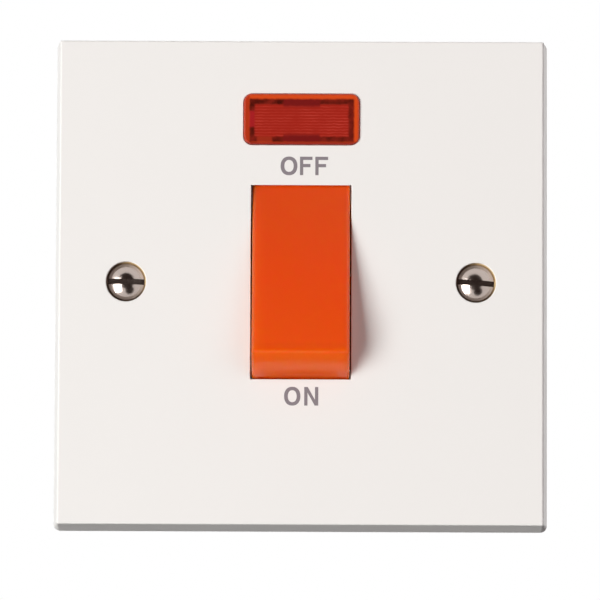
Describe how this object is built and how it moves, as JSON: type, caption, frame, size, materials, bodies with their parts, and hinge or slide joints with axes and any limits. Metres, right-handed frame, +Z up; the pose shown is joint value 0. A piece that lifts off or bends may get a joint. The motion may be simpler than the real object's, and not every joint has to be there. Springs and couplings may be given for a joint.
{
  "type": "double pole switch",
  "caption": "Square white wall plate with an orange rocker, a ribbed red indicator lens and slotted fixing screws; the rocker works sprung contact bars in the base behind it.",
  "frame": {"origin": "centre of the plate's back rim, on the wall plane", "axes": "+X to the right seen from the front, +Y into the wall, +Z up"},
  "size_m": [0.0856, 0.04, 0.0856],
  "materials": {
    "plate_plastic": "satin white moulded urea",
    "rocker_plastic": "glossy orange red moulding",
    "lens_plastic": "clear red ribbed polycarbonate",
    "base_plastic": "pale grey moulded base",
    "plunger_plastic": "natural nylon",
    "nickel_screw": "nickel plated steel",
    "zinc_screw": "zinc plated steel",
    "spring_steel": "drawn spring wire",
    "brass": "machined brass",
    "copper": "rolled copper alloy strip",
    "silver": "silver contact alloy",
    "lamp_glass": "clear lamp glass",
    "resistor_body": "lacquered film resistor",
    "lead_sleeve": "pale sleeved wire"
  },
  "bodies": {
    "housing": {"front_plate": "plate_plastic", "neon_lens": "lens_plastic", "fixing_screws": "nickel_screw", "base_moulding": "base_plastic", "base_screws": "zinc_screw", "terminal_screws": "zinc_screw", "neon_lamp": "lamp_glass", "neon_resistor": "resistor_body", "neon_lead_link": "lead_sleeve", "neon_lead_left": "lead_sleeve", "neon_lead_right": "lead_sleeve", "feed_strip_left": "brass", "load_strip_left": "brass", "fixed_contact_left": "silver", "load_terminal_left": "brass", "supply_terminal_left": "brass", "feed_strip_right": "brass", "load_strip_right": "brass", "fixed_contact_right": "silver", "load_terminal_right": "brass", "supply_terminal_right": "brass"},
    "rocker": {"rocker": "rocker_plastic", "plunger_spring_left": "spring_steel", "plunger_spring_right": "spring_steel"},
    "left_plunger": {"plunger_left": "plunger_plastic"},
    "right_plunger": {"plunger_right": "plunger_plastic"},
    "left_contact": {"contact_bar_left": "copper", "moving_contact_left": "silver"},
    "right_contact": {"contact_bar_right": "copper", "moving_contact_right": "silver"}
  },
  "joints": [
    {"name": "rocker_tilt", "type": "hinge", "parent": "housing", "child": "rocker", "pos_m": [0, -0.001, 0], "axis": [1, 0, 0], "range_deg": [0, 26]},
    {"name": "left_plunger_slide", "type": "slide", "parent": "rocker", "child": "left_plunger", "axis": [0, 0.9744, -0.225], "range_m": [-0.001, 0.0002], "stiffness_N_per_m": 1000, "springref_m": 0.0002, "deforming": ["plunger_spring_left"]},
    {"name": "left_contact_rock", "type": "hinge", "parent": "housing", "child": "left_contact", "pos_m": [-0.0047, 0.0119, 0], "axis": [1, 0, 0], "range_deg": [-16.4, 0]},
    {"name": "right_plunger_slide", "type": "slide", "parent": "rocker", "child": "right_plunger", "axis": [0, 0.9744, -0.225], "range_m": [-0.001, 0.0002], "stiffness_N_per_m": 1000, "springref_m": 0.0002, "deforming": ["plunger_spring_right"]},
    {"name": "right_contact_rock", "type": "hinge", "parent": "housing", "child": "right_contact", "pos_m": [0.0047, 0.0119, 0], "axis": [1, 0, 0], "range_deg": [-16.4, 0]}
  ],
  "couplings": [
    {"joint": "left_contact_rock", "follows": "rocker_tilt", "ratio": -0.63077},
    {"joint": "right_contact_rock", "follows": "rocker_tilt", "ratio": -0.63077}
  ]
}
